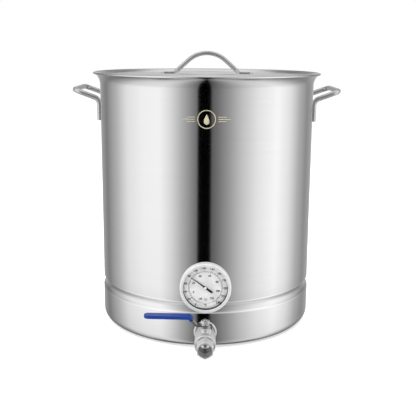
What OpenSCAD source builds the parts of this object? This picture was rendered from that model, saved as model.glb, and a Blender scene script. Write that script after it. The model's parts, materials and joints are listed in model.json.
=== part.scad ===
// Brew kettle: a deep stainless pot with a flared rim, a lift-off lid, a perforated
// false bottom, a bimetal dial thermometer and a two-piece ball valve.
// +Z is up, the pot's axis is Z, the base stands on Z = 0 and the fittings face -Y.

/* [Pot] */
// Outside radius of the straight wall
body_r = 175; // [172:0.5:178]
// Outside radius of the wall below the support bead
foot_r = 175.6; // [175.2:0.1:176]
// Height of the pot over its rolled lip
pot_h = 412; // [400:1:430]
// Thickness of the pot's sheet
wall_t = 1; // [0.8:0.1:1.2]
// Outside radius of the corner between the base and the wall
corner_r = 15; // [10:0.5:15]
// How far the rim flares outwards
flare_out = 9.5; // [9:0.5:12]
// Radius of the flare's curve
flare_r = 23; // [22:0.5:26]
// Radius of the rolled lip
lip_r = 1.6; // [1.2:0.1:2]
// Height of the middle of the support bead
bead_z = 64.5; // [60:0.5:66]
// Depth of the support bead
bead_depth = 3.4; // [2.5:0.1:4]
// Half of the support bead's height
bead_half = 8.2; // [7:0.1:9]

/* [Side handles] */
// Diameter of the handle tube
handle_d = 8; // [7:0.5:9]
// Distance between a handle's two legs
handle_span = 108; // [90:1:120]
// Height of the handle's cut ends
handle_foot_z = 337; // [330:1:345]
// Height where the legs start to bend outwards
handle_bend_z = 362; // [356:1:366]
// Radius of the handle's bends
handle_bend_r = 12; // [10:0.5:14]
// Upward tilt of the grip
handle_tilt = 20; // [15:1:25]
// Length of the grip's arms along the tilt
handle_arm = 21.6; // [18:0.2:26]

/* [Lid] */
// Thickness of the lid's sheet
lid_t = 1; // [0.8:0.1:1.2]
// Height of the handle's arch over the lid
arch_h = 37; // [36:0.5:44]
// Radius of the arch along the tube's middle
arch_r = 45.5; // [42:0.5:48]
// Slope of the arch's legs
arch_slope = 41.6; // [38:0.2:45]
// Diameter of the lid handle's tube
arch_d = 7; // [6:0.5:8]

/* [False bottom] */
// Thickness of the false bottom
sieve_t = 1.2; // [1:0.1:1.5]
// Diameter of its drain holes
sieve_hole_d = 6; // [4:0.5:7]
// Distance between neighbouring drain holes
sieve_pitch = 20; // [18:0.5:26]

/* [Valve] */
// Height of the valve's axis
valve_z = 28; // [27:0.5:30]
// Distance from the wall to the stem's axis
stem_out = 39; // [39:0.5:42]
// Diameter of the flow passage
valve_bore_d = 15; // [13:0.5:15]
// Radius of the ball
ball_r = 12.6; // [12.2:0.1:12.8]
// Width across the flats of the valve's hexagons
valve_af = 25; // [24:0.5:27]
// Depth of the outlet's thread
outlet_depth = 14; // [12:0.5:15]
// Length of the lever from the stem to its tip
lever_len = 90; // [80:1:100]
// Width of the lever strip
lever_w = 12; // [11:0.5:13]

/* [Thermometer] */
// Height of the dial's axis
dial_z = 107.4; // [105:0.2:115]
// Outside radius of the bezel
bezel_r = 38; // [36:0.5:40]
// Distance from the wall to the bezel's front
bezel_front = 36; // [35:0.5:40]
// Length of the probe inside the pot
probe_len = 66; // [55:1:90]
// Clockwise angle of the pointer from the top of the dial
pointer_at = 306.1; // [209:0.1:512]

/* [Hidden] */
$fn = 96;
clearance = 0.3;      // between pieces that lift away from each other
run = 0.05;           // radial play where one piece turns inside another
thread_r = 10.4;      // male half-inch pipe thread
thread_bore_r = 10.45;
outlet_r = 9.3;       // inside of the female half-inch pipe thread
wall_hole_r = 11;
gasket_t = 2;
washer_t = 1.5;

handle_r = handle_d / 2;
handle_leg_x = sqrt(pow(body_r + handle_r, 2) - pow(handle_span / 2, 2));
handle_turn = 90 - handle_tilt;
handle_arm_x = handle_leg_x + handle_bend_r * (1 - cos(handle_turn));
handle_arm_z = handle_bend_z + handle_bend_r * sin(handle_turn);

lip_top = pot_h;
flare_z = pot_h - lip_r - sqrt(pow(flare_r, 2) - pow(flare_r - flare_out, 2));
bead_r = (pow(bead_depth, 2) + pow(bead_half, 2)) / (2 * bead_depth);

lid_edge_r = body_r + 1.4;
lid_bead_r = 1.6;
lid_edge_z = flare_z + sqrt(pow(flare_r + wall_t + lid_bead_r + clearance, 2)
                            - pow(body_r + flare_r - lid_edge_r, 2));
lid_field_z = lid_edge_z + 2.4;
lid_panel_r = 50;
lid_panel_rise = 1;
lid_land_r = 84;
arch_foot_t = 3;
arch_foot_w = 12;
arch_foot_len = 22;
arch_foot_z = lid_field_z + lid_t / 2;
arch_top_z = arch_foot_z + arch_h - arch_d / 2;
arch_centre_z = arch_top_z - arch_r;
arch_end = [arch_r * sin(arch_slope), arch_centre_z + arch_r * cos(arch_slope)];
arch_leg_drop = arch_end[1] - (arch_foot_z + arch_foot_t / 2);
arch_leg_len = arch_leg_drop / sin(arch_slope);
arch_knee_x = arch_end[0] + arch_leg_len * cos(arch_slope);

sieve_r = body_r - wall_t - 1;
sieve_z = bead_z + sqrt(pow(bead_r + wall_t, 2) - pow(body_r + bead_r - bead_depth - sieve_r, 2))
          + clearance;

// Distances out from the wall along the valve's axis
flange_end = gasket_t + 4;
valve_start = flange_end + 0.5;
barrel_start = 20;
cavity_start = stem_out - 11.5;
cavity_end = stem_out + 17;
inlet_af = valve_af + 1.5;
outlet_af = valve_af - 1.5;
seat_len = 4;
seal_t = 0.8;
collar_end = cavity_end + seal_t + 2;
outlet_end = stem_out + 37;
barrel_r = 15.6;
cavity_r = 13;

// Heights over the valve's axis, up the stem
stem_r = 4;
shoulder_r = 5.5;
shoulder_low = 12.2;
shoulder_high = 13.8;
thrust_t = 1;
packing_low = 17.6;
packing_high = 19.6;
packing_r = 6;
neck_r = 7.4;
neck_high = 20.8;
gland_high = 23.2;
plate_low = 24;
plate_t = 2;
lever_washer_t = 1;
lever_nut_t = 5.4;
lever_nut_af = 11.5;
plate_high = plate_low + plate_t;
tab_low = plate_low - 5.4;
tab_out = neck_r + 0.3;
tab_t = 2.3;
stem_top = plate_high + lever_washer_t + lever_nut_t + 1.4;
stem_flats = 5.4;
stem_thread_r = 3;

// The lever's bent middle line, seen from the front: [across, up] from the stem's axis
plate_mid = plate_low + plate_t / 2;
lever_line = [
    [8.5, plate_mid],
    [-12.5, plate_mid],
    [-23.8, plate_mid + 12.4],
    [-lever_len + 1.5, plate_mid + 13.4],
];
sleeve_line = [
    [-19.3, plate_mid + 8.2],
    [-23.6, plate_mid + 12.9],
    [-lever_len, plate_mid + 14],
];
sleeve_t = 4.8;
sleeve_w = lever_w + 2.2;

// Distances out from the wall along the dial's axis
fitting_hex_end = 9;
case_back = bezel_front - 14.5;
dial_face = bezel_front - 6.6;
lens_low = bezel_front - 3.6;
lens_high = bezel_front - 1.8;
case_r = bezel_r - 3;
lens_r = bezel_r - 4.4;
bezel_inner_r = bezel_r * 0.868;
stem_tube_r = 3.175;
stem_tube_t = 0.55;
spindle_r = 0.8;
hub_r = 2;

// ---------------------------------------------------------------- helpers

function unit(v) = v / norm(v);
function left_of(v) = [-v[1], v[0]];

// The mitred offset direction at point i of the line p
function mitre(p, i) =
    let (before = i == 0 ? unit(p[1] - p[0]) : unit(p[i] - p[i - 1]),
         after = i == len(p) - 1 ? before : unit(p[i + 1] - p[i]),
         middle = unit(left_of(before) + left_of(after)))
    middle / (middle * left_of(before));

// The outline of a strip of thickness t along the line p
function strip(p, t) = concat(
    [for (i = [0 : len(p) - 1]) p[i] + mitre(p, i) * t / 2],
    [for (i = [len(p) - 1 : -1 : 0]) p[i] - mitre(p, i) * t / 2]);

module ring(outer, inner, low, high) {
    translate([0, 0, low])
        difference() {
            cylinder(r = outer, h = high - low);
            translate([0, 0, -1])
                cylinder(r = inner, h = high - low + 2);
        }
}

// A hexagonal prism with flats above and below and both ends chamfered
module hex_bar(af, low, high, chamfer = 0.8) {
    corner = af / sqrt(3);
    face = af / 2 - 0.3;
    translate([0, 0, low])
        intersection() {
            cylinder(r = corner, h = high - low, $fn = 6);
            rotate_extrude()
                polygon([[0, 0], [face, 0], [corner + 0.1, chamfer],
                         [corner + 0.1, high - low - chamfer], [face, high - low],
                         [0, high - low]]);
        }
}

// Stands its children on the wall with +Z pointing out and +Y up
module at_valve() {
    translate([0, -foot_r, valve_z])
        rotate([90, 0, 0])
            children();
}

module at_dial() {
    translate([0, -body_r, dial_z])
        rotate([90, 0, 0])
            children();
}

// Stands its children on the valve's axis with +Z up the stem
module at_stem() {
    translate([0, -foot_r - stem_out, valve_z])
        children();
}

// Half of the pot's filled outline, made smaller by inset
module vessel_half(inset) {
    difference() {
        union() {
            translate([0, corner_r])
                square([foot_r - inset, bead_z - corner_r]);
            translate([0, inset])
                square([foot_r - corner_r, corner_r]);
            translate([foot_r - corner_r, corner_r])
                intersection() {
                    circle(r = corner_r - inset);
                    translate([0, -corner_r])
                        square(corner_r);
                }
            translate([0, bead_z])
                square([body_r - inset, flare_z - bead_z]);
            difference() {
                translate([0, flare_z])
                    square([body_r + flare_out, lip_top - lip_r - flare_z]);
                translate([body_r + flare_r, flare_z])
                    circle(r = flare_r + inset);
            }
        }
        translate([body_r + bead_r - bead_depth, bead_z])
            circle(r = bead_r + inset);
    }
}

// ---------------------------------------------------------------- pot

module pot_shell() {
    color("#c9cbcd")
        difference() {
            rotate_extrude()
                union() {
                    difference() {
                        vessel_half(0);
                        vessel_half(wall_t);
                        translate([-1, lip_top - lip_r - 0.5])
                            square([body_r, lip_r + 1]);
                    }
                    translate([body_r + flare_out, lip_top - lip_r])
                        circle(r = lip_r);
                }
            at_valve()
                translate([0, 0, -20])
                    cylinder(r = wall_hole_r, h = 40);
            at_dial()
                translate([0, 0, -20])
                    cylinder(r = wall_hole_r, h = 40);
        }
}

// One U-shaped tube handle on the +X side, drawn from the inner end of its tilted arms
module side_handle() {
    color("#b9bbbd") {
        translate([handle_arm_x, 0, handle_arm_z])
            rotate([0, -handle_tilt, 0]) {
                handle_grip();
                for (side = [0, 1])
                    mirror([0, side, 0])
                        translate([0, handle_span / 2, 0])
                            handle_leg();
            }
        for (side = [-1, 1])
            handle_weld(side);
    }
}

// The bend under an arm's inner end and the straight leg below it
module handle_leg() {
    rotate([90, 0, 0])
        translate([0, -handle_bend_r, 0]) {
            rotate([0, 0, 90])
                rotate_extrude(angle = handle_turn)
                    translate([handle_bend_r, 0])
                        circle(d = handle_d);
            rotate([0, 0, 90 + handle_turn])
                translate([handle_bend_r, 0, 0])
                    rotate([-90, 0, 0])
                        cylinder(d = handle_d, h = handle_bend_z - handle_foot_z);
        }
}

// The tilted part of the handle: two arms, two corners and the bar between them
module handle_grip() {
    half = handle_span / 2;
    for (side = [0, 1])
        mirror([0, side, 0]) {
            translate([0, half, 0])
                rotate([0, 90, 0])
                    cylinder(d = handle_d, h = handle_arm);
            translate([handle_arm, half - handle_bend_r, 0])
                rotate_extrude(angle = 90)
                    translate([handle_bend_r, 0])
                        circle(d = handle_d);
        }
    translate([handle_arm + handle_bend_r, -half + handle_bend_r, 0])
        rotate([-90, 0, 0])
            cylinder(d = handle_d, h = handle_span - 2 * handle_bend_r);
}

// The weld that fills the wedge between a leg and the wall
module handle_weld(side) {
    weld_w = 4.4;
    weld_h = handle_bend_z - handle_foot_z - 2;
    angle = side * asin(handle_span / 2 / (body_r + handle_r));
    rotate([0, 0, angle])
        difference() {
            translate([body_r - 2, -weld_w / 2, handle_foot_z])
                cube([3.5, weld_w, weld_h]);
            translate([0, 0, handle_foot_z - 1])
                cylinder(r = body_r, h = weld_h + 2, $fn = 720);
        }
}

module right_handle() {
    side_handle();
}

module left_handle() {
    mirror([1, 0, 0])
        side_handle();
}

// ---------------------------------------------------------------- lid

module lid() {
    line = [
        [0, lid_field_z + lid_panel_rise],
        [lid_panel_r, lid_field_z + lid_panel_rise],
        [lid_panel_r + 3, lid_field_z],
        [lid_land_r, lid_field_z],
        [lid_edge_r - 14, lid_edge_z + 0.5],
        [lid_edge_r - 1, lid_edge_z],
    ];
    color("#c4c6c8") {
        rotate_extrude()
            polygon(strip(line, lid_t));
        rotate_extrude()
            translate([lid_edge_r, lid_edge_z])
                circle(r = lid_bead_r);
    }
}

// The arch and its two sloping legs, drawn flat and stood up
module lid_handle_tube() {
    leg_len = arch_leg_len - arch_d;
    translate([0, 0, arch_centre_z])
        rotate([90, 0, 0]) {
            rotate([0, 0, 90 - arch_slope]) {
                rotate_extrude(angle = 2 * arch_slope)
                    translate([arch_r, 0])
                        circle(d = arch_d);
                translate([arch_r, 0, 0])
                    rotate([90, 0, 0])
                        cylinder(d = arch_d, h = leg_len);
            }
            rotate([0, 0, 90 + arch_slope])
                translate([arch_r, 0, 0])
                    rotate([-90, 0, 0])
                        cylinder(d = arch_d, h = leg_len);
        }
}

module lid_handle() {
    color("#a9abad") {
        lid_handle_tube();
        for (side = [0, 1])
            mirror([side, 0, 0]) {
                hull() {
                    translate([arch_end[0], 0, arch_end[1]])
                        rotate([0, 90 + arch_slope, 0])
                            translate([0, 0, arch_leg_len - arch_d])
                                sphere(d = arch_d, $fn = 32);
                    translate([arch_knee_x, -arch_foot_w / 2, arch_foot_z])
                        cube([2, arch_foot_w, arch_foot_t]);
                }
                translate([arch_knee_x, 0, arch_foot_z])
                    linear_extrude(arch_foot_t)
                        foot_outline();
            }
    }
}

// A flattened tube end: square at the leg and round at the tip
module foot_outline() {
    translate([0, -arch_foot_w / 2])
        square([arch_foot_len - arch_foot_w / 2, arch_foot_w]);
    translate([arch_foot_len - arch_foot_w / 2, 0])
        circle(d = arch_foot_w);
}

// ---------------------------------------------------------------- false bottom

module false_bottom() {
    reach = sieve_r - 10;
    rows = floor(reach / (sieve_pitch * sin(60)));
    columns = floor(reach / sieve_pitch) + 1;
    color("#bfc1c3")
        translate([0, 0, sieve_z])
            linear_extrude(sieve_t)
                difference() {
                    circle(r = sieve_r);
                    for (row = [-rows : rows], column = [-columns : columns]) {
                        x = (column + (row % 2 == 0 ? 0 : 0.5)) * sieve_pitch;
                        y = row * sieve_pitch * sin(60);
                        if (norm([x, y]) < reach)
                            translate([x, y])
                                circle(d = sieve_hole_d, $fn = 24);
                    }
                }
}

// ---------------------------------------------------------------- bulkhead pieces

// A soft ring squeezed between the wall's outside and a flat flange
module outer_gasket(outer) {
    ring(outer, wall_hole_r - 0.4, -3, gasket_t);
}

// The same ring on the wall's inside
module inner_gasket(outer) {
    ring(outer, wall_hole_r - 0.4, -wall_t - gasket_t, 3);
}

module inner_washer() {
    color("#bfc1c3")
        ring(15.5, wall_hole_r - 0.4, -wall_t - gasket_t - washer_t, -wall_t - gasket_t);
}

module lock_nut() {
    color("#b4b6b8")
        difference() {
            hex_bar(27, -wall_t - gasket_t - washer_t - 6, -wall_t - gasket_t - washer_t);
            translate([0, 0, -20])
                cylinder(r = thread_bore_r, h = 30);
        }
}

module valve_outer_gasket() {
    color("#1c1c1d")
        difference() {
            at_valve()
                outer_gasket(15.5);
            cylinder(r = foot_r, h = bead_z, $fn = 720);
        }
}

module valve_inner_gasket() {
    color("#1c1c1d")
        intersection() {
            at_valve()
                inner_gasket(14);
            cylinder(r = foot_r - wall_t, h = bead_z, $fn = 720);
        }
}

module valve_inner_washer() {
    at_valve()
        inner_washer();
}

module valve_lock_nut() {
    at_valve()
        lock_nut();
}

// Flanged nipple through the wall: the valve screws on outside, the lock nut inside
module valve_bulkhead() {
    color("#b4b6b8")
        at_valve()
            difference() {
                union() {
                    translate([0, 0, -16])
                        cylinder(r = thread_r, h = 16 + barrel_start - 1);
                    translate([0, 0, gasket_t])
                        cylinder(r = 17.5, h = flange_end - 1.5 - gasket_t);
                    translate([0, 0, flange_end - 1.5])
                        cylinder(r1 = 17.5, r2 = 16, h = 1.5);
                }
                translate([0, 0, -17])
                    cylinder(d = valve_bore_d, h = 60);
            }
}

// ---------------------------------------------------------------- ball valve

// The casting before its bores: inlet hexagon, barrel, neck and two lever stops
module valve_casting() {
    at_valve() {
        hex_bar(inlet_af, valve_start, barrel_start + 1);
        translate([0, 0, barrel_start])
            cylinder(r1 = 13.5, r2 = barrel_r, h = 3);
        translate([0, 0, barrel_start + 3])
            cylinder(r = barrel_r, h = cavity_end - barrel_start - 3);
    }
    at_stem()
        translate([0, 0, 8])
            cylinder(r = neck_r, h = neck_high - 8);
    at_stem()
        for (angle = [-38, 128])
            rotate([0, 0, angle])
                translate([neck_r - 2, -1.8, 8])
                    cube([4.6, 3.6, neck_high - 0.1 - 8]);
}

module valve_flow_bores() {
    at_valve() {
        cylinder(r = thread_bore_r, h = barrel_start);
        cylinder(d = valve_bore_d, h = cavity_start + 1);
        translate([0, 0, cavity_start])
            cylinder(r = cavity_r, h = cavity_end - cavity_start + 1);
    }
}

module valve_stem_bores() {
    at_stem() {
        cylinder(r = shoulder_r + 0.2, h = shoulder_high + thrust_t);
        cylinder(r = stem_r + run, h = neck_high + 1);
        translate([0, 0, packing_low])
            cylinder(r = packing_r, h = neck_high);
    }
}

module valve_body() {
    color("#b8babc")
        difference() {
            difference() {
                valve_casting();
                valve_flow_bores();
            }
            valve_stem_bores();
        }
}

module valve_body_seal() {
    color("#e8e6df")
        at_valve()
            ring(15.2, cavity_r, cavity_end, cavity_end + seal_t);
}

module valve_end_cap() {
    spigot_start = stem_out + 11.5;
    color("#bcbec0")
        at_valve()
            difference() {
                union() {
                    translate([0, 0, spigot_start])
                        cylinder(r = cavity_r - run, h = cavity_end + seal_t - spigot_start);
                    translate([0, 0, cavity_end + seal_t])
                        cylinder(r = 15.2, h = collar_end - cavity_end - seal_t);
                    rotate([0, 0, 30])
                        hex_bar(outlet_af, collar_end - 1, outlet_end, 1.4);
                }
                translate([0, 0, spigot_start - 1])
                    cylinder(d = valve_bore_d, h = 60);
                translate([0, 0, outlet_end - outlet_depth])
                    cylinder(r = outlet_r, h = outlet_depth + 1);
            }
}

// A plastic seat ring hollowed to the ball; side -1 is at the inlet, 1 at the outlet
module ball_seat(side) {
    outer_end = stem_out + side * 11.5;
    inner_end = stem_out + side * (11.5 - seat_len);
    color("#eceae2")
        at_valve()
            difference() {
                ring(cavity_r - run, valve_bore_d / 2, min(outer_end, inner_end),
                     max(outer_end, inner_end));
                translate([0, 0, stem_out])
                    sphere(r = ball_r + run);
            }
}

module inner_ball_seat() {
    ball_seat(-1);
}

module outer_ball_seat() {
    ball_seat(1);
}

// The ball is shown closed: its passage lies across the flow
module ball() {
    color("#d5d7d9")
        at_stem()
            difference() {
                sphere(r = ball_r);
                rotate([0, 90, 0])
                    cylinder(d = valve_bore_d, h = 4 * ball_r, center = true);
                translate([-3.6, -ball_r, ball_r - 3])
                    cube([7.2, 2 * ball_r, 4]);
            }
}

module valve_stem() {
    color("#bfc1c3")
        at_stem()
            difference() {
                union() {
                    intersection() {
                        translate([-3.5, -5, ball_r - 2.8])
                            cube([7, 10, shoulder_low - ball_r + 2.9]);
                        cylinder(r = shoulder_r, h = shoulder_high);
                    }
                    translate([0, 0, shoulder_low])
                        cylinder(r = shoulder_r, h = shoulder_high - shoulder_low);
                    translate([0, 0, shoulder_high])
                        cylinder(r = stem_r, h = plate_high - 0.4 - shoulder_high);
                    translate([0, 0, plate_high - 0.4])
                        cylinder(r = stem_thread_r, h = stem_top - plate_high + 0.4);
                }
                for (side = [-1, 1])
                    translate([side * (stem_flats / 2 + 5), 0, plate_low + 5])
                        cube([10, 20, 10], center = true);
            }
}

module stem_thrust_washer() {
    color("#eceae2")
        at_stem()
            ring(shoulder_r + 0.1, stem_r + run, shoulder_high + 0.1,
                 shoulder_high + thrust_t);
}

module stem_packing() {
    color("#eceae2")
        at_stem()
            ring(packing_r - run, stem_r + run, packing_low, packing_high);
}

module gland_nut() {
    color("#b4b6b8")
        at_stem()
            difference() {
                union() {
                    translate([0, 0, packing_high])
                        cylinder(r = packing_r - run, h = neck_high + 0.2 - packing_high);
                    hex_bar(12.5, neck_high, gland_high, 0.4);
                }
                cylinder(r = stem_r + run, h = 40);
            }
}

// ---------------------------------------------------------------- lever

// A bent strip seen from the front, as wide as w along Y
module bent_strip(line, t, w) {
    translate([0, w / 2, 0])
        rotate([90, 0, 0])
            linear_extrude(w)
                polygon(strip(line, t));
}

// Rounds both ends of a strip in plan
module plan(low_x, high_x, w) {
    r = w / 2;
    linear_extrude(80)
        union() {
            translate([low_x + r, -r])
                square([high_x - low_x - w, w]);
            for (x = [low_x + r, high_x - r])
                translate([x, 0])
                    circle(r = r);
        }
}

module lever_strip() {
    intersection() {
        bent_strip(lever_line, plate_t, lever_w);
        plan(-lever_len + 1.5, 8.5, lever_w);
    }
}

module lever() {
    color("#8f9193")
        at_stem()
            difference() {
                union() {
                    lever_strip();
                    translate([tab_out, -3, tab_low])
                        cube([tab_t, 6, plate_high - 0.3 - tab_low]);
                    translate([5, -3, plate_low + 0.3])
                        cube([tab_out - 4, 6, plate_t - 0.6]);
                }
                intersection() {
                    cylinder(r = stem_r + run, h = 60);
                    translate([-stem_flats / 2 - run, -10, 0])
                        cube([stem_flats + 2 * run, 20, 60]);
                }
            }
}

module lever_sleeve() {
    color("#2447a8")
        at_stem()
            difference() {
                intersection() {
                    bent_strip(sleeve_line, sleeve_t, sleeve_w);
                    plan(-lever_len, -10, sleeve_w);
                }
                lever_strip();
            }
}

module lever_washer() {
    color("#bfc1c3")
        at_stem()
            ring(6.6, stem_thread_r + run, plate_high, plate_high + lever_washer_t);
}

module lever_nut() {
    low = plate_high + lever_washer_t;
    color("#dcdee0")
        at_stem()
            difference() {
                rotate([0, 0, 12])
                    hex_bar(lever_nut_af, low, low + lever_nut_t);
                cylinder(r = stem_thread_r + run, h = 60);
            }
}

// ---------------------------------------------------------------- thermometer

module thermometer_outer_gasket() {
    color("#1c1c1d")
        difference() {
            at_dial()
                outer_gasket(15);
            cylinder(r = body_r, h = 2 * dial_z, $fn = 720);
        }
}

module thermometer_inner_gasket() {
    color("#1c1c1d")
        intersection() {
            at_dial()
                inner_gasket(15);
            cylinder(r = body_r - wall_t, h = 2 * dial_z, $fn = 720);
        }
}

module thermometer_inner_washer() {
    at_dial()
        inner_washer();
}

module thermometer_lock_nut() {
    at_dial()
        lock_nut();
}

module thermometer_fitting() {
    color("#b4b6b8")
        at_dial()
            difference() {
                union() {
                    translate([0, 0, -16])
                        cylinder(r = thread_r, h = 16 + gasket_t);
                    translate([0, 0, gasket_t])
                        cylinder(r = 15, h = 1.5);
                    hex_bar(25, gasket_t + 1, fitting_hex_end);
                    translate([0, 0, fitting_hex_end - 1])
                        cylinder(r = 8, h = case_back - fitting_hex_end + 1);
                }
                translate([0, 0, -17])
                    cylinder(r = stem_tube_r, h = 60);
            }
}

module probe_tube() {
    color("#c4c6c8")
        at_dial()
            difference() {
                union() {
                    translate([0, 0, -wall_t - probe_len])
                        cylinder(r = stem_tube_r, h = wall_t + probe_len + case_back - 0.5);
                    translate([0, 0, -wall_t - probe_len])
                        sphere(r = stem_tube_r);
                }
                translate([0, 0, -wall_t - probe_len])
                    cylinder(r = stem_tube_r - stem_tube_t, h = 200);
            }
}

// The helical bimetal strip that turns the spindle, fixed at the probe's tip
module bimetal_coil() {
    coil_len = 40;
    turns = 8;
    color("#b8924a")
        at_dial()
            translate([0, 0, -wall_t - probe_len + 1])
                linear_extrude(coil_len, twist = -360 * turns, slices = 20 * turns, $fn = 4)
                    translate([1.9, 0])
                        square([0.5, 1.6], center = true);
}

module thermometer_case() {
    color("#c4c6c8")
        at_dial()
            difference() {
                translate([0, 0, case_back])
                    cylinder(r = case_r, h = lens_high - case_back);
                translate([0, 0, case_back + 1.2])
                    cylinder(r = lens_r - 2, h = 40);
                translate([0, 0, dial_face - 0.8])
                    cylinder(r = lens_r, h = 40);
                translate([0, 0, case_back - 1])
                    cylinder(r = 2.4, h = 4);
            }
}

module dial_plate() {
    color("#f4f4f2")
        at_dial()
            ring(lens_r - 0.1, 1.4, dial_face - 0.8, dial_face);
}

module lens_gasket() {
    color("#1b1b1b")
        at_dial()
            ring(lens_r - 0.05, lens_r - 1, dial_face, lens_low);
}

module dial_lens() {
    color([0.9, 0.95, 1, 0.35])
        at_dial()
            translate([0, 0, lens_low])
                cylinder(r = lens_r - 0.05, h = lens_high - lens_low);
}

module bezel() {
    edge = 2.2;
    color("#dfe1e2")
        at_dial()
            rotate_extrude()
                difference() {
                    union() {
                        translate([bezel_inner_r, lens_high])
                            square([bezel_r - edge - bezel_inner_r, bezel_front - lens_high]);
                        translate([case_r, bezel_front - 12])
                            square([bezel_r - case_r, 12 - edge]);
                        translate([bezel_r - edge, bezel_front - edge])
                            circle(r = edge);
                    }
                    translate([0, case_back])
                        square([case_r, lens_high - case_back]);
                }
}

// ---------------------------------------------------------------- pointer

module pointer() {
    tip = 25.5;
    tail = 12.5;
    hub_hole_r = 1.4;
    color("#202020")
        at_dial()
            rotate([0, 0, 90 - pointer_at])
                translate([0, 0, dial_face + 1.1])
                    difference() {
                        linear_extrude(0.4)
                            polygon([[-tail, 1.5], [-3.5, 1.5], [-2, 1.9], [2, 1.9], [3.5, 0.9],
                                     [tip, 0.35], [tip, -0.35], [3.5, -0.9], [2, -1.9],
                                     [-2, -1.9], [-3.5, -1.5], [-tail, -1.5]]);
                        translate([0, 0, -1])
                            cylinder(r = hub_hole_r, h = 3);
                    }
}

module pointer_hub() {
    color("#e6e6e6")
        at_dial()
            difference() {
                union() {
                    translate([0, 0, dial_face + 0.6])
                        cylinder(r = 1.4, h = 1);
                    translate([0, 0, dial_face + 1.5])
                        cylinder(r = hub_r, h = 0.9);
                }
                translate([0, 0, dial_face])
                    cylinder(r = spindle_r, h = 1.9);
            }
}

module pointer_spindle() {
    low = -wall_t - probe_len + 3;
    color("#bfc1c3")
        at_dial()
            translate([0, 0, low])
                cylinder(r = spindle_r, h = dial_face + 1.9 - low);
}

pot_shell();
left_handle();
right_handle();
lid();
lid_handle();
false_bottom();
valve_outer_gasket();
valve_bulkhead();
valve_inner_gasket();
valve_inner_washer();
valve_lock_nut();
valve_body();
valve_body_seal();
valve_end_cap();
inner_ball_seat();
outer_ball_seat();
ball();
valve_stem();
stem_thrust_washer();
stem_packing();
gland_nut();
lever();
lever_sleeve();
lever_washer();
lever_nut();
thermometer_outer_gasket();
thermometer_fitting();
thermometer_inner_gasket();
thermometer_inner_washer();
thermometer_lock_nut();
probe_tube();
bimetal_coil();
thermometer_case();
dial_plate();
lens_gasket();
dial_lens();
bezel();
pointer();
pointer_hub();
pointer_spindle();
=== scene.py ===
"""Looks of the brew kettle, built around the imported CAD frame. Everything is in metres."""

import json
import math

import bmesh
import bpy
from mathutils import Matrix, Vector


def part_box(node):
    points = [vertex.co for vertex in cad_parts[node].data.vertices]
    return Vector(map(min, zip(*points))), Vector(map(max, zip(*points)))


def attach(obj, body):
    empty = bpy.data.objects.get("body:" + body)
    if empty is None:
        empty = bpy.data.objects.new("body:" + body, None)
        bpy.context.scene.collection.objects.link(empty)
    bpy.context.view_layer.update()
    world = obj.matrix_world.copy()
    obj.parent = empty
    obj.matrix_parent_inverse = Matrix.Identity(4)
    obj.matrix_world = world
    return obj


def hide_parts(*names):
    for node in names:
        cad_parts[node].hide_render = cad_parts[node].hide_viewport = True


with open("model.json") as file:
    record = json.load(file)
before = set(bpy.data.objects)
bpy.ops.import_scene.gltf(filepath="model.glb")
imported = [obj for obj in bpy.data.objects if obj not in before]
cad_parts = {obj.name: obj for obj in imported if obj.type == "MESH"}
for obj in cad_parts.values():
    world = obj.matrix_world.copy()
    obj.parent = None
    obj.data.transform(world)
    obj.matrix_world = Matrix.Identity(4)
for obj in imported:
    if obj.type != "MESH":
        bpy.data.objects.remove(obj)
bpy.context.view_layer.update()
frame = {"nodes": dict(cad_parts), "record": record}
nodes = frame["nodes"]

MM = 0.001

# ------------------------------------------------------------------ places taken from the frame

shell_low, shell_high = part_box("pot_shell")
LIP_TOP = shell_high.z
LIP_OUT = min(shell_high.x, -shell_low.y)
dial_low, dial_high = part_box("dial_plate")
DIAL = Vector((0, dial_low.y, (dial_low.z + dial_high.z) / 2))
cap_low, cap_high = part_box("valve_end_cap")
VALVE_Z = (cap_low.z + cap_high.z) / 2

# The pot's driving sizes, the same as the CAD part's
BODY_R = 175 * MM
FOOT_R = 175.6 * MM
WALL = 1 * MM
CORNER_R = 15 * MM
FLARE_R = 23 * MM
LIP_R = 1.6 * MM
FLARE_OUT = LIP_OUT - LIP_R - BODY_R
BEAD_Z = 64.5 * MM
BEAD_DEPTH = 3.4 * MM
BEAD_HALF = 8.2 * MM

# ------------------------------------------------------------------ camera


def add_camera():
    distance, height = 1.25, 0.4572
    pitch, yaw, roll = math.radians(12.407), math.radians(0.155), math.radians(0.427)
    flat = math.cos(pitch)
    ahead = Vector((math.sin(yaw) * flat, math.cos(yaw) * flat, -math.sin(pitch)))
    level = Vector((math.cos(yaw), -math.sin(yaw), 0))
    up = level.cross(ahead)
    right = math.cos(roll) * level + math.sin(roll) * up
    top = math.cos(roll) * up - math.sin(roll) * level
    data = bpy.data.cameras.new("camera")
    data.lens = 64.585
    data.sensor_width = 36
    data.clip_start, data.clip_end = 0.05, 50
    camera = bpy.data.objects.new("camera", data)
    camera.matrix_world = Matrix(
        (
            (right.x, top.x, -ahead.x, 0),
            (right.y, top.y, -ahead.y, -distance),
            (right.z, top.z, -ahead.z, height),
            (0, 0, 0, 1),
        )
    )
    bpy.context.scene.collection.objects.link(camera)
    bpy.context.scene.camera = camera


# ------------------------------------------------------------------ node helpers


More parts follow.
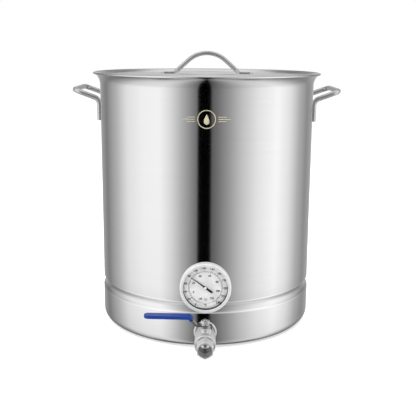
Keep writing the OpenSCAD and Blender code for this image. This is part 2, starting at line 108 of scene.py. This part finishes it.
class Graph:
    """Short forms for building a node tree."""

    def __init__(self, tree):
        self.tree = tree
        tree.nodes.clear()

    def node(self, kind, inputs=None, **settings):
        n = self.tree.nodes.new(kind)
        for key, value in settings.items():
            setattr(n, key, value)
        for key, value in (inputs or {}).items():
            if isinstance(value, bpy.types.NodeSocket):
                self.tree.links.new(value, n.inputs[key])
            else:
                n.inputs[key].default_value = value
        return n

    def math(self, operation, a, b=0.0, clamp=False):
        n = self.node("ShaderNodeMath", {0: a, 1: b}, operation=operation, use_clamp=clamp)
        return n.outputs[0]

    def split(self, vector):
        n = self.node("ShaderNodeSeparateXYZ", {0: vector})
        return n.outputs[0], n.outputs[1], n.outputs[2]

    def join(self, x, y, z):
        return self.node("ShaderNodeCombineXYZ", {0: x, 1: y, 2: z}).outputs[0]

    def noise(self, vector, scale, detail=2.0, roughness=0.5):
        n = self.node(
            "ShaderNodeTexNoise",
            {"Vector": vector, "Scale": scale, "Detail": detail, "Roughness": roughness},
        )
        return n.outputs["Fac"]

    def span(self, value, low, high, to_low, to_high, smooth=False):
        """Maps low..high to to_low..to_high and holds the ends."""
        n = self.node("ShaderNodeMapRange", {0: value, 1: low, 2: high, 3: to_low, 4: to_high})
        if smooth:
            n.interpolation_type = "SMOOTHSTEP"
        return n.outputs[0]

    def mix(self, factor, a, b):
        n = self.node("ShaderNodeMix", data_type="RGBA")
        for key, value in ((0, factor), (6, a), (7, b)):
            if isinstance(value, bpy.types.NodeSocket):
                self.tree.links.new(value, n.inputs[key])
            else:
                n.inputs[key].default_value = value
        return n.outputs[2]

    def tint(self, tone, colour):
        """The colour made lighter or darker by tone."""
        parts = {i: self.math("MULTIPLY", tone, colour[i], clamp=True) for i in range(3)}
        return self.node("ShaderNodeCombineColor", parts).outputs[0]

    def bump(self, height, strength, distance):
        n = self.node("ShaderNodeBump", {"Height": height, "Strength": strength, "Distance": distance})
        return n.outputs["Normal"]


def grey(value):
    return (value, value, value, 1.0)


def new_material(name):
    """An empty material and the graph to build it in."""
    material = bpy.data.materials.new(name)
    material.use_nodes = True
    return material, Graph(material.node_tree)


def finish_material(g, shader):
    g.node("ShaderNodeOutputMaterial", {"Surface": shader})


def around_z(g):
    """Angle, radius and height about the pot's axis."""
    where = g.node("ShaderNodeTexCoord").outputs["Object"]
    x, y, z = g.split(where)
    angle = g.math("ARCTAN2", y, x)
    radius = g.math("SQRT", g.math("ADD", g.math("MULTIPLY", x, x), g.math("MULTIPLY", y, y)))
    return angle, radius, z


# ------------------------------------------------------------------ materials


def brushed_steel(name, value, grain, roughness=0.26, anisotropy=0.8, streak=0.06, turned=False, highlight_bands=()):
    """Satin sheet with its grain round the pot's axis.

    grain is how many grain lines a metre has, and highlight_bands are heights where the colour is
    lightened as painted highlight lines.
    """
    material, g = new_material(name)
    angle, radius, height = around_z(g)
    across = radius if turned else height
    wrap = g.math("MULTIPLY", angle, BODY_R)
    where = g.join(g.math("MULTIPLY", wrap, 8.0), 0.0, g.math("MULTIPLY", across, grain))
    fine = g.noise(where, 1.0, 3, 0.6)
    where = g.join(g.math("MULTIPLY", wrap, 2.0), 3.0, g.math("MULTIPLY", across, 90.0))
    broad = g.noise(where, 1.0, 2)
    stains = g.noise(g.node("ShaderNodeTexCoord").outputs["Object"], 9.0, 3)
    tone = g.math(
        "ADD",
        g.span(fine, 0.25, 0.75, 1.0 - streak, 1.0 + streak),
        g.span(broad, 0.2, 0.8, -streak / 4, streak / 4),
    )
    rough = g.math(
        "ADD",
        g.span(fine, 0.2, 0.8, roughness - 0.03, roughness + 0.04),
        g.span(stains, 0.3, 0.7, -0.01, 0.02),
    )
    # Painted highlights: the colour is lightened in level bands at the bead's edges, where the bends catch
    # the light
    for band, half, lift in highlight_bands:
        off = g.math("ABSOLUTE", g.math("SUBTRACT", height, band))
        wear_and_highlight = g.span(off, half * 0.4, half, 1.0, 0.0, smooth=True)
        tone = g.math("ADD", tone, g.math("MULTIPLY", wear_and_highlight, lift))
    base = g.tint(g.math("MULTIPLY", tone, value), (1.0, 1.0, 1.006))
    tangent = g.node("ShaderNodeTangent", direction_type="RADIAL", axis="Z").outputs[0]
    shader = g.node(
        "ShaderNodeBsdfPrincipled",
        {
            "Base Color": base,
            "Metallic": 1.0,
            "Roughness": rough,
            "Anisotropic": anisotropy,
            "Anisotropic Rotation": 0.25,
            "Tangent": tangent,
            "Normal": g.bump(fine, 0.05, 0.0002),
        },
    )
    finish_material(g, shader.outputs[0])
    return material


def plain_steel(
    name, value, roughness, bump=0.1, scale=900.0, tint=(1.0, 1.0, 1.0), wear=0.06, metal=1.0, bore=0.0
):
    """Machined, drawn or cast steel: fine grain, faint blotches and rubbed edges.

    Inside the radius bore about the valve's axis the colour is darkened as painted shade of the bore.
    """
    material, g = new_material(name)
    where = g.node("ShaderNodeTexCoord").outputs["Object"]
    grain = g.noise(where, scale, 3, 0.6)
    blotch = g.noise(where, scale / 14, 2)
    edge = g.node("ShaderNodeNewGeometry").outputs["Pointiness"]
    wear_and_highlight = g.span(edge, 0.5, 0.56, 0.0, wear)
    tone = g.math("ADD", g.span(blotch, 0.3, 0.7, 0.95, 1.05), wear_and_highlight)
    # Painted shade: the colour is darker inside the bore about the valve's axis
    if bore:
        x, _, z = g.split(where)
        ends = {0: g.join(x, 0.0, z), 1: (0, 0, VALVE_Z)}
        off = g.node("ShaderNodeVectorMath", ends, operation="DISTANCE")
        tone = g.math("MULTIPLY", tone, g.span(off.outputs["Value"], bore, bore + 0.5 * MM, 0.25, 1.0))
    base = g.tint(g.math("MULTIPLY", tone, value), tint)
    shader = g.node(
        "ShaderNodeBsdfPrincipled",
        {
            "Base Color": base,
            "Metallic": metal,
            "Roughness": g.span(grain, 0.2, 0.8, roughness - 0.05, roughness + 0.07),
            "Normal": g.bump(grain, bump, 0.0002),
        },
    )
    finish_material(g, shader.outputs[0])
    return material


def plastic(name, colour, roughness, bump=0.05, scale=700.0, gloss=0.5):
    """Moulded or dipped plastic, rubber, enamel and ink with faint colour drift and orange peel."""
    material, g = new_material(name)
    where = g.node("ShaderNodeTexCoord").outputs["Object"]
    peel = g.noise(where, scale, 2)
    drift = g.noise(where, 60.0, 2)
    tone = g.span(drift, 0.3, 0.7, 0.9, 1.1)
    base = g.tint(tone, colour)
    shader = g.node(
        "ShaderNodeBsdfPrincipled",
        {
            "Base Color": base,
            "Roughness": g.span(peel, 0.2, 0.8, roughness - 0.04, roughness + 0.06),
            "Normal": g.bump(peel, bump, 0.0003),
            "Specular IOR Level": gloss,
        },
    )
    finish_material(g, shader.outputs[0])
    return material


def clear_glass(name):
    """The dial's lens with faint smudges."""
    material, g = new_material(name)
    smudge = g.noise(g.node("ShaderNodeTexCoord").outputs["Object"], 60.0, 3)
    shader = g.node(
        "ShaderNodeBsdfPrincipled",
        {
            "Base Color": (0.97, 0.98, 0.98, 1),
            "Roughness": g.span(smudge, 0.3, 0.7, 0.0, 0.03),
            "Transmission Weight": 1.0,
            "IOR": 1.05,
            "Alpha": 0.25,
        },
    )
    finish_material(g, shader.outputs[0])
    return material


# Height, half width and brightening of the painted highlight lines at the bead's edges
BEAD_HIGHLIGHTS = (
    (BEAD_Z + BEAD_HALF, 2 * MM, 0.3),
    (BEAD_Z - BEAD_HALF, 1.6 * MM, 0.12),
)
materials = {
    "brushed_body": brushed_steel(
        "brushed_body", 0.76, 2600.0, roughness=0.13, anisotropy=1.0, streak=0.035, highlight_bands=BEAD_HIGHLIGHTS
    ),
    "brushed_lid": brushed_steel("brushed_lid", 0.76, 2200.0, roughness=0.24, anisotropy=0.7, turned=True),
    "perforated_steel": brushed_steel(
        "perforated_steel", 0.74, 1500.0, roughness=0.3, anisotropy=0.5, turned=True
    ),
    "handle_steel": plain_steel("handle_steel", 0.62, 0.38, metal=0.95),
    "machined_steel": plain_steel("machined_steel", 0.72, 0.28, metal=0.9),
    # cast_steel carries painted shade inside the valve's bore
    "cast_steel": plain_steel(
        "cast_steel", 0.72, 0.38, bump=0.25, scale=1500.0, metal=0.82, bore=9.5 * MM
    ),
    # Dark steel of the outlet's thread; its darkness is painted shade of the mouth
    "shaded_thread_steel": plain_steel("shaded_thread_steel", 0.2, 0.4),
    "polished_steel": plain_steel("polished_steel", 0.85, 0.1, bump=0.02),
    "lever_steel": plain_steel("lever_steel", 0.45, 0.35),
    "bezel_steel": plain_steel("bezel_steel", 0.72, 0.4, bump=0.05, metal=0.35),
    "hub_steel": plain_steel("hub_steel", 0.85, 0.35, metal=0.4),
    "silicone": plastic("silicone", (0.02, 0.02, 0.021), 0.55),
    "white_seal": plastic("white_seal", (0.85, 0.84, 0.8), 0.5),
    "blue_vinyl": plastic("blue_vinyl", (0.005, 0.036, 0.23), 0.3, bump=0.1, gloss=0.25),
    "bimetal": plain_steel("bimetal", 0.7, 0.3, tint=(1.0, 0.75, 0.4)),
    "dial_white": plastic("dial_white", (0.64, 0.64, 0.635), 0.45, bump=0.01),
    "dial_ink": plastic("dial_ink", (0.015, 0.015, 0.015), 0.5, bump=0.01),
    "emblem_ink": plastic("emblem_ink", (0.5, 0.45, 0.32), 0.5, bump=0.02),
    "black_rubber": plastic("black_rubber", (0.02, 0.02, 0.02), 0.6),
    "clear_glass": clear_glass("clear_glass"),
    "pointer_black": plastic("pointer_black", (0.012, 0.012, 0.012), 0.4, bump=0.02),
}

# Nodes whose look differs from their slot's
OWN_LOOK = {"pointer_hub": "hub_steel"}
# CAD nodes that may be seen in reflections, besides the pot
REFLECTED = ("lid", "false_bottom")
# Voxel size and rounds of smoothing of the nodes whose edges are softened
SOFTENED = {
    "lever_sleeve": (0.35 * MM, 1),
    "valve_body": (0.5 * MM, 3),
    "valve_end_cap": (0.45 * MM, 3),
    "valve_bulkhead": (0.45 * MM, 3),
    "bezel": (0.5 * MM, 8),
    "lever_nut": (0.3 * MM, 3),
}


def wear_slots():
    """Gives every CAD node its material, smooth shading and, where it is listed, soft edges."""
    for part in frame["record"]["subparts"]:
        ob = nodes[part["node"]]
        ob.data.materials.clear()
        ob.data.materials.append(materials[OWN_LOOK.get(part["node"], part["material_slot"])])
        shade(ob)
        ob.visible_glossy = part["node"] in REFLECTED
        if part["node"] in SOFTENED:
            soften(ob, *SOFTENED[part["node"]])


def soften(ob, voxel, rounds):
    """Rounds a node's edges the way casting, dipping or tumbling leaves them."""
    remesh = ob.modifiers.new("even", "REMESH")
    remesh.mode = "VOXEL"
    remesh.voxel_size = voxel
    remesh.use_smooth_shade = True
    smooth = ob.modifiers.new("soft", "SMOOTH")
    smooth.factor = 0.5
    smooth.iterations = rounds


def shade(ob, angle=32):
    """Smooth shading that keeps edges sharper than the angle."""
    bm = bmesh.new()
    bm.from_mesh(ob.data)
    limit = math.radians(angle)
    for f in bm.faces:
        f.smooth = True
    for e in bm.edges:
        e.smooth = not (len(e.link_faces) == 2 and e.calc_face_angle(0) > limit)
    bm.to_mesh(ob.data)
    bm.free()


# ------------------------------------------------------------------ mesh helpers


def add_mesh(name, verts, faces, material, body, replaced=(), angle=32):
    mesh = bpy.data.meshes.new(name)
    mesh.from_pydata(verts, [], faces)
    mesh.update()
    ob = bpy.data.objects.new(name, mesh)
    bpy.context.scene.collection.objects.link(ob)
    mesh.materials.append(materials[material])
    shade(ob, angle)
    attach(ob, body)
    if replaced:
        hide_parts(*replaced)
    return ob


def arc(centre, radius, start, end, count):
    """Points on an arc in a (radius, height) plane, angles in degrees."""
    out = []
    for i in range(count + 1):
        a = math.radians(start + (end - start) * i / count)
        out.append((centre[0] + radius * math.cos(a), centre[1] + radius * math.sin(a)))
    return out


def lathe_faces(profile, segments):
    """Vertices and faces of a (radius, height) profile turned about Z, with shared points on the axis."""
    verts, rings = [], []
    for r, z in profile:
        if r < 1e-7:
            rings.append([len(verts)])
            verts.append((0, 0, z))
        else:
            rings.append(list(range(len(verts), len(verts) + segments)))
            for k in range(segments):
                a = 2 * math.pi * k / segments
                verts.append((r * math.cos(a), r * math.sin(a), z))
    faces = []
    for low, high in zip(rings, rings[1:]):
        for k in range(segments):
            n = (k + 1) % segments
            if len(low) == 1:
                faces.append((low[0], high[n], high[k]))
            elif len(high) == 1:
                faces.append((low[k], low[n], high[0]))
            else:
                faces.append((low[k], low[n], high[n], high[k]))
    return verts, faces


# ------------------------------------------------------------------ pot


def pot_profile():
    """Outline of the sheet from the axis, up the outside, over the lip and down the inside."""
    flare_z = LIP_TOP - LIP_R - math.sqrt(FLARE_R**2 - (FLARE_R - FLARE_OUT) ** 2)
    flare_end = math.degrees(math.acos((FLARE_R - FLARE_OUT) / FLARE_R))
    bead_r = (BEAD_DEPTH**2 + BEAD_HALF**2) / (2 * BEAD_DEPTH)
    bead_x = BODY_R + bead_r - BEAD_DEPTH
    fillet = 2.2 * MM

    def side(inset):
        """One face of the sheet from the axis to just under the lip."""
        points = [(0, inset), (60 * MM, inset), (120 * MM, inset)]
        points += arc((FOOT_R - CORNER_R, CORNER_R), CORNER_R - inset, -90, 0, 14)
        points += bead(inset)
        points += [(BODY_R - inset, BEAD_Z + 30 * MM), (BODY_R - inset, 0.2), (BODY_R - inset, 0.3)]
        points += arc((BODY_R + FLARE_R, flare_z), FLARE_R + inset, 180, 180 - flare_end + 2, 16)
        return points

    def bead(inset):
        """The support bead with a small fillet at each edge."""
        out = []
        big = bead_r + inset
        small = fillet - inset if fillet > inset else 0.2 * MM
        for wall_r, sign in ((FOOT_R, -1), (BODY_R, 1)):
            edge = wall_r - inset
            centre_r = edge - small
            lift = math.sqrt((big + small) ** 2 - (bead_x - centre_r) ** 2)
            turn = math.degrees(math.asin(lift / (big + small)))
            fillet_arc = arc((centre_r, BEAD_Z + sign * lift), small, 0, -sign * turn, 5)
            main = arc((bead_x, BEAD_Z), big, 180 - sign * turn, 180, 8)
            if sign < 0:
                out += fillet_arc + main[1:]
            else:
                out += main[::-1][1:] + fillet_arc[::-1][1:]
        return out

    outside = side(0.0)
    inside = side(WALL)
    lip = arc((BODY_R + FLARE_OUT, LIP_TOP - LIP_R), LIP_R, -60, 150, 14)
    return outside + lip + inside[::-1]


def add_pot():
    verts, faces = lathe_faces(pot_profile(), 256)
    add_mesh("pot", verts, faces, "brushed_body", "kettle", replaced=("pot_shell",), angle=50)


# ------------------------------------------------------------------ dial print and emblem

BEZEL_R = 38 * MM
# Where the Fahrenheit scale's zero is, clockwise from the top, and how far a degree goes, in degrees
SCALE_ZERO = 208.9
SCALE_STEP = 1.215
# Radii on the dial, as shares of the bezel's radius: the ring's two edges and its nominal radius
RING_INNER, RING_OUTER, RING = 0.637, 0.644, 0.642
# the ticks' ends at the ring, and their far ends, long and short
FAHRENHEIT_BASE, FAHRENHEIT_LONG, FAHRENHEIT_SHORT = 0.645, 0.705, 0.68
CELSIUS_BASE, CELSIUS_LONG, CELSIUS_SHORT = 0.635, 0.595, 0.615
# and the middles of the numbers and of the unit signs
FAHRENHEIT_NUMBERS, CELSIUS_NUMBERS = 0.785, 0.5
FAHRENHEIT_SIGN, CELSIUS_SIGN = 0.72, 0.5
# How much the numbers' and the signs' strokes are thickened
NUMBER_WEIGHT, SIGN_WEIGHT = 0.14 * MM, 0.12 * MM
PRINT_T = 0.03 * MM
# The ring's straight pieces, and the angle that each spans, a little over its share so that they overlap
RING_PIECES = 96
RING_PIECE_ANGLE = 0.0659


def thicken(ob):
    """Gives a printed layer its thickness, towards the viewer."""
    solid = ob.modifiers.new("layer", "SOLIDIFY")
    solid.thickness = PRINT_T
    solid.offset = 1
    ob.visible_glossy = False


def glyphs(text, size, weight):
    """Flat faces of a number or unit sign in Blender's own font, centred on the origin."""
    curve = bpy.data.curves.new("glyphs", "FONT")
    curve.body = text
    curve.size = size
    curve.offset = weight
    curve.align_x = "CENTER"
    curve.align_y = "CENTER"
    ob = bpy.data.objects.new("glyphs", curve)
    bpy.context.scene.collection.objects.link(ob)
    bpy.context.view_layer.update()
    mesh = bpy.data.meshes.new_from_object(ob.evaluated_get(bpy.context.evaluated_depsgraph_get()))
    verts = [v.co.copy() for v in mesh.vertices]
    faces = [tuple(f.vertices) for f in mesh.polygons]
    bpy.data.objects.remove(ob)
    bpy.data.curves.remove(curve)
    bpy.data.meshes.remove(mesh)
    return verts, faces


def add_dial_print():
    """Ticks, numbers and unit signs of the two scales, a hair in front of the dial plate."""
    verts, faces = [], []
    front = DIAL.y - 0.02 * MM

    def place(points, polygons, x, z):
        start = len(verts)
        verts.extend((x + p[0], front, z + p[1]) for p in points)
        faces.extend(tuple(i + start for i in f) for f in polygons)

    def turn(fahrenheit):
        """Angle of a temperature on the dial, clockwise from the top."""
        return math.radians(SCALE_ZERO + SCALE_STEP * fahrenheit)

    def turn_celsius(celsius):
        return turn(32 + 1.8 * celsius)

    def tick(angle, inner, outer, width):
        along = Vector((math.sin(angle), math.cos(angle)))
        side = Vector((along.y, -along.x)) * width / 2
        ends = (along * inner - side, along * inner + side, along * outer + side, along * outer - side)
        place([(p.x, p.y) for p in ends], [(0, 1, 2, 3)], 0, DIAL.z)

    def write(text, angle, share, size, weight):
        points, polygons = glyphs(text, size, weight)
        radius = share * BEZEL_R
        place(points, polygons, radius * math.sin(angle), DIAL.z + radius * math.cos(angle))

    for fahrenheit in range(0, 251, 2):
        long = fahrenheit % 20 == 0
        outer = FAHRENHEIT_LONG if long else FAHRENHEIT_SHORT
        width = (0.5 if long else 0.22) * MM
        tick(turn(fahrenheit), FAHRENHEIT_BASE * BEZEL_R, outer * BEZEL_R, width)
    for celsius in range(-20, 121, 2):
        long = celsius % 10 == 0
        inner = CELSIUS_LONG if long else CELSIUS_SHORT
        width = (0.45 if long else 0.2) * MM
        tick(turn_celsius(celsius), inner * BEZEL_R, CELSIUS_BASE * BEZEL_R, width)
    for i in range(RING_PIECES):
        angle = 2 * math.pi * (i + 0.5) / RING_PIECES
        tick(angle, RING_INNER * BEZEL_R, RING_OUTER * BEZEL_R, RING_PIECE_ANGLE * RING * BEZEL_R)
    for value in range(0, 241, 20):
        write(str(value), turn(value), FAHRENHEIT_NUMBERS, 4.5 * MM, NUMBER_WEIGHT)
    for value in range(-20, 121, 20):
        write(str(value), turn_celsius(value), CELSIUS_NUMBERS, 4.4 * MM, NUMBER_WEIGHT)
    write("\u00b0F", math.pi, FAHRENHEIT_SIGN, 5 * MM, SIGN_WEIGHT)
    write("\u00b0C", math.pi, CELSIUS_SIGN, 4.6 * MM, SIGN_WEIGHT)
    ob = add_mesh("dial_print", verts, faces, "dial_ink", "kettle")
    thicken(ob)


EMBLEM_Z = 351 * MM
EMBLEM_RING = 13.5 * MM
EMBLEM_LINE = 1.2 * MM
DROP_HALF_W = 5.6 * MM
DROP_HALF_H = 7.6 * MM
RULE_START = 17 * MM
RULE_HALF = 0.45 * MM
# Height over the emblem's middle and far end of each rule
RULES = ((-3.2 * MM, 29 * MM), (0, 36 * MM), (3.2 * MM, 29 * MM))


def add_emblem():
    """A plain drop in a ring with three thin rules on each side, printed on the front of the wall."""
    verts, faces = [], []
    skin = BODY_R + PRINT_T

    def strip(left, right):
        """Joins two rows of (u, v) points, u round the wall and v up it."""
        start = len(verts)
        for u, v in left + right:
            verts.append((skin * math.sin(u / skin), -skin * math.cos(u / skin), EMBLEM_Z + v))
        n = len(left)
        for i in range(n - 1):
            faces.append((start + i, start + i + 1, start + n + i + 1, start + n + i))

    def circle(radius, count=56):
        turns = [2 * math.pi * i / count for i in range(count + 1)]
        return [(radius * math.sin(a), radius * math.cos(a)) for a in turns]

    def drop(side):
        """One edge of the drop, its tip up."""
        out = []
        for i in range(25):
            a = math.pi * i / 24
            width = DROP_HALF_W * math.sin(a) * math.sin(a / 2) ** 1.4
            out.append((side * width, DROP_HALF_H * math.cos(a)))
        return out

    def rule(start, end, v):
        """A thin level line."""
        us = [start + (end - start) * i / 8 for i in range(9)]
        strip([(u, v - RULE_HALF) for u in us], [(u, v + RULE_HALF) for u in us])

    strip(circle(EMBLEM_RING), circle(EMBLEM_RING - EMBLEM_LINE))
    strip(drop(1), drop(-1))
    for side in (-1, 1):
        for v, reach in RULES:
            rule(side * RULE_START, side * reach, v)
    ob = add_mesh("emblem", verts, faces, "emblem_ink", "kettle")
    face_outward(ob)
    thicken(ob)


def face_outward(ob):
    """Turns every face of a printed layer away from the pot's axis."""
    bm = bmesh.new()
    bm.from_mesh(ob.data)
    for f in bm.faces:
        middle = f.calc_center_median()
        if f.normal.x * middle.x + f.normal.y * middle.y < 0:
            f.normal_flip()
    bm.to_mesh(ob.data)
    bm.free()


# ------------------------------------------------------------------ outlet thread


def add_outlet_thread():
    """A helical ridge in the outlet's mouth, its root sunk into the metal, its half width in pitches."""
    bore, depth, pitch, height = 9.3 * MM, 13 * MM, 1.8 * MM, 0.55 * MM
    sunk, half_width, steps = 0.05 * MM, 0.4, 40
    count = int(depth / pitch * steps)
    verts, faces = [], []
    mouth = cap_low.y + 0.7 * MM
    for i in range(count + 1):
        a = 2 * math.pi * i / steps
        y = mouth + pitch * i / steps
        fade = min(1.0, i / steps, (count - i) / steps)
        crest = bore - height * fade - 0.01 * MM
        section = ((bore + sunk, -half_width), (crest, 0), (bore + sunk, half_width))
        for r, along in section:
            verts.append((r * math.cos(a), y + along * pitch, VALVE_Z + r * math.sin(a)))
    for i in range(count):
        for j in range(3):
            k = (j + 1) % 3
            faces.append((3 * i + j, 3 * i + k, 3 * i + 3 + k, 3 * i + 3 + j))
    faces.append((0, 1, 2))
    faces.append((3 * count + 2, 3 * count + 1, 3 * count))
    # The thread's dark colour is painted shade inside the outlet's mouth
    ob = add_mesh("outlet_thread", verts, faces, "shaded_thread_steel", "kettle", angle=60)
    ob.visible_glossy = False


# ------------------------------------------------------------------ studio


# The floor glows a little, so that it is as pale as the surroundings
FLOOR_LOOK = {
    "Base Color": grey(0.85),
    "Roughness": 0.9,
    "Specular IOR Level": 0.0,
    "Emission Color": grey(1.0),
    "Emission Strength": 0.45,
}


# Just under the base, so that the two don't share a plane
FLOOR_HALF, FLOOR_DROP = 6.0, 0.4 * MM


def add_floor():
    mesh = bpy.data.meshes.new("floor")
    s = FLOOR_HALF
    mesh.from_pydata([(-s, -s, 0), (s, -s, 0), (s, s, 0), (-s, s, 0)], [], [(0, 1, 2, 3)])
    ob = bpy.data.objects.new("floor", mesh)
    ob.location.z = -FLOOR_DROP
    bpy.context.scene.collection.objects.link(ob)
    material, g = new_material("floor")
    shader = g.node("ShaderNodeBsdfPrincipled", FLOOR_LOOK)
    finish_material(g, shader.outputs[0])
    mesh.materials.append(material)
    ob.visible_glossy = False


# Brightness of the studio seen in the metal, by the angle from the front, positive to the right
STUDIO = [
    (-180, 0.95), (-160, 0.42), (-135, 0.25), (-110, 0.58), (-92, 0.98), (-70, 1.15), (-50, 1.18),
    (-38, 0.92), (-26, 0.56), (-14, 0.28), (-9.1, 0.19), (-8.9, 0.0), (5.1, 0.0), (5.3, 0.13),
    (12, 0.21), (24, 0.41), (38, 0.7), (56, 1.02), (80, 1.25), (98, 1.0), (116, 0.55),
    (135, 0.32), (160, 0.45), (180, 0.95),
]
STUDIO_PEAK = max(value for _, value in STUDIO)
# How the studio dims downwards, by the height of the direction
DIMMING = [(-1.0, 0.45), (-0.93, 0.6), (-0.8, 0.74), (-0.6, 0.8), (-0.4, 0.83), (-0.31, 1.0), (-0.2, 1.0)]


def brightness_round(g, x, y):
    """The studio's brightness by the angle from the front, as a colour, for the peak value 1."""
    angle = g.math("ARCTAN2", x, g.math("MULTIPLY", y, -1.0))
    ramp = g.node("ShaderNodeValToRGB", {0: g.span(angle, -math.pi, math.pi, 0.0, 1.0)})
    stops = ramp.color_ramp.elements
    while len(stops) > 1:
        stops.remove(stops[-1])
    stops[0].position = 0.0
    stops[0].color = grey(STUDIO[0][1] / STUDIO_PEAK)
    for degrees, value in STUDIO[1:]:
        stops.new(degrees / 360 + 0.5).color = grey(value / STUDIO_PEAK)
    return ramp.outputs[0]


def brightness_down(g, y, z):
    """How much of its brightness the studio keeps towards the floor and over the far rim."""
    curve = g.node("ShaderNodeFloatCurve", {"Value": g.span(z, -1.0, 0.0, 0.0, 1.0)})
    points = curve.mapping.curves[0].points
    points[0].location = (0.0, DIMMING[0][1])
    points[1].location = (1.0, 1.0)
    for level, value in DIMMING[1:]:
        points.new(level + 1.0, value)
    curve.mapping.update()

    def only_where(mask, share):
        """share where mask is 1, and no change where it is 0."""
        return g.math("ADD", 1.0, g.math("MULTIPLY", mask, g.math("SUBTRACT", share, 1.0)))

    behind = g.span(y, 0.45, 0.6, 0.0, 1.0)
    low_and_high = g.math("MULTIPLY", g.span(z, -0.68, -0.55, 0.7, 1.0), g.span(z, -0.01, 0.05, 1.0, 0.75))
    past_middle = g.span(y, 0.0, 0.04, 0.0, 1.0)
    straight_down = g.span(z, -0.93, -0.85, 0.3, 1.0)
    shares = g.math("MULTIPLY", only_where(behind, low_and_high), only_where(past_middle, straight_down))
    return g.math("MULTIPLY", curve.outputs[0], shares)


def add_world():
    """White to the camera, and the studio's strips and falloff to everything else."""
    world = bpy.data.worlds.new("studio")
    bpy.context.scene.world = world
    world.use_nodes = True
    g = Graph(world.node_tree)
    x, y, z = g.split(g.node("ShaderNodeTexCoord").outputs["Generated"])
    overhead = g.span(z, 0.75, 0.97, 0.0, 1.0, smooth=True)
    around = g.mix(overhead, brightness_round(g, x, y), grey(0.75))
    ends = {0: around, 3: brightness_down(g, y, z)}
    colour = g.node("ShaderNodeVectorMath", ends, operation="SCALE").outputs["Vector"]
    seen = g.node("ShaderNodeBackground", {"Color": grey(1.0), "Strength": 1.0})
    lit = g.node("ShaderNodeBackground", {"Color": colour, "Strength": STUDIO_PEAK})
    direct = g.node("ShaderNodeLightPath").outputs["Is Camera Ray"]
    both = g.node("ShaderNodeMixShader", {0: direct, 1: lit.outputs[0], 2: seen.outputs[0]})
    g.node("ShaderNodeOutputWorld", {"Surface": both.outputs[0]})


def add_light(name, place, target, size, power):
    data = bpy.data.lights.new(name, "AREA")
    data.shape = "RECTANGLE"
    data.size, data.size_y = size
    data.energy = power
    ob = bpy.data.objects.new(name, data)
    ob.location = place
    ob.rotation_euler = (Vector(target) - Vector(place)).to_track_quat("-Z", "Y").to_euler()
    ob.visible_glossy = False
    bpy.context.scene.collection.objects.link(ob)


def add_studio():
    add_floor()
    add_world()
    add_light("overhead", (0, -0.3, 2.6), (0, -0.3, 0), (3.2, 3.2), 75)
    add_light("key", (-1.6, -1.6, 2.2), (0, 0, 0.2), (1.6, 1.6), 20)
    view = bpy.context.scene.view_settings
    view.view_transform = "Standard"
    view.look = "None"


add_camera()
wear_slots()
add_pot()
add_dial_print()
add_emblem()
add_outlet_thread()
add_studio()

bpy.context.view_layer.update()
